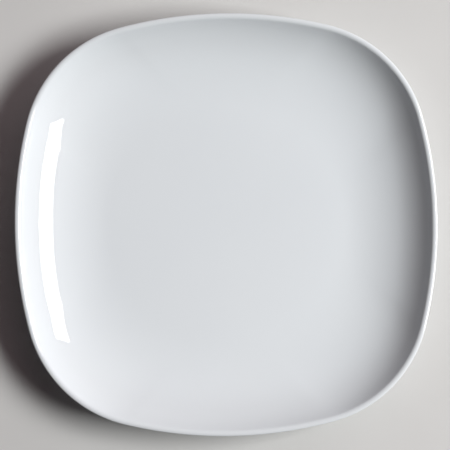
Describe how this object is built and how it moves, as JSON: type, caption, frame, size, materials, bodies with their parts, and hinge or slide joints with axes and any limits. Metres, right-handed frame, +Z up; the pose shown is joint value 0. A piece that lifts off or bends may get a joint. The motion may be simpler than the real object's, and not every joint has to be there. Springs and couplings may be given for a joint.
{
  "type": "square dinner plate",
  "caption": "Coupe dinner plate: a rounded square with bowed sides, a flat round floor that curves up to a plain rounded lip, glazed all over but for the round foot ring it stands on.",
  "frame": {"origin": "middle of the plate on the surface that it stands on", "axes": "+Z up, out of the face; the flat sides face +X, -X, +Y and -Y"},
  "size_m": [0.26, 0.26, 0.028],
  "materials": {
    "porcelain": "matte",
    "glaze": "gloss"
  },
  "bodies": {
    "root": {"porcelain_body": "porcelain", "glaze_coat": "glaze", "foot_recess_glaze": "glaze"}
  },
  "joints": []
}
